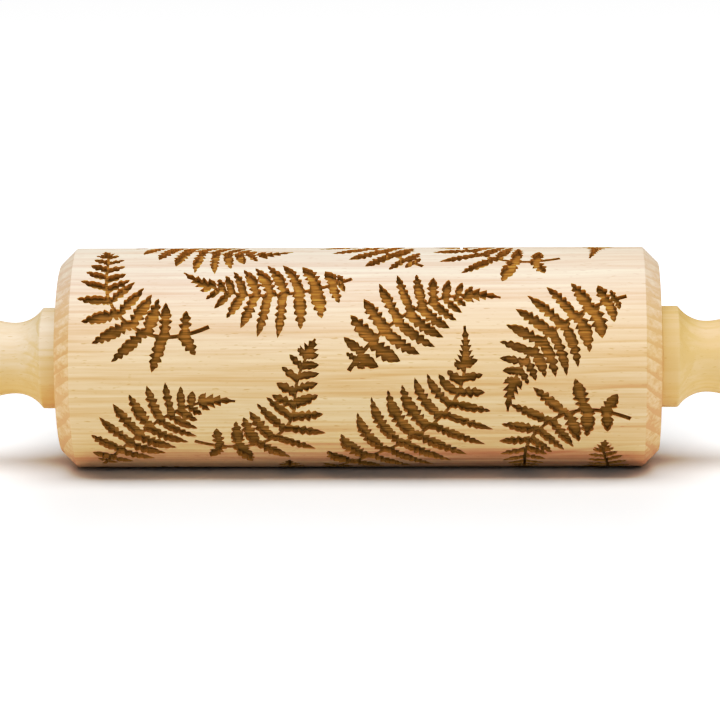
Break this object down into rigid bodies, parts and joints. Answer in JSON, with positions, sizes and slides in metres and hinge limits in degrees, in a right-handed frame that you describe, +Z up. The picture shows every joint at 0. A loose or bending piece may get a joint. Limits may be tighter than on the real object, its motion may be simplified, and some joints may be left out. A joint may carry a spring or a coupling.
{
  "type": "embossing rolling pin",
  "caption": "Wooden rolling pin with a fern-engraved barrel that turns on a steel rod between two turned handles, for pressing a relief pattern into dough or clay.",
  "frame": {"origin": "middle of the barrel, on its axis", "axes": "+X along the pin towards the right handle, +Z up, -Y towards the side with the pattern's front"},
  "size_m": [0.39, 0.06, 0.06],
  "materials": {
    "barrel_beech": "fine-sanded natural beech with burnt engraving",
    "handle_beech": "fine-sanded natural beech",
    "rod_steel": "drawn bright steel",
    "washer_steel": "satin",
    "bush_plastic": "matt natural"
  },
  "bodies": {
    "handles": {"axle_rod": "rod_steel", "left_washer": "washer_steel", "right_washer": "washer_steel", "left_handle": "handle_beech", "right_handle": "handle_beech"},
    "barrel": {"roller_barrel": "barrel_beech", "left_bearing": "bush_plastic", "right_bearing": "bush_plastic"}
  },
  "joints": [
    {"name": "barrel_spin", "type": "hinge", "parent": "handles", "child": "barrel", "pos_m": [0, 0, 0], "axis": [1, 0, 0], "continuous": true}
  ]
}
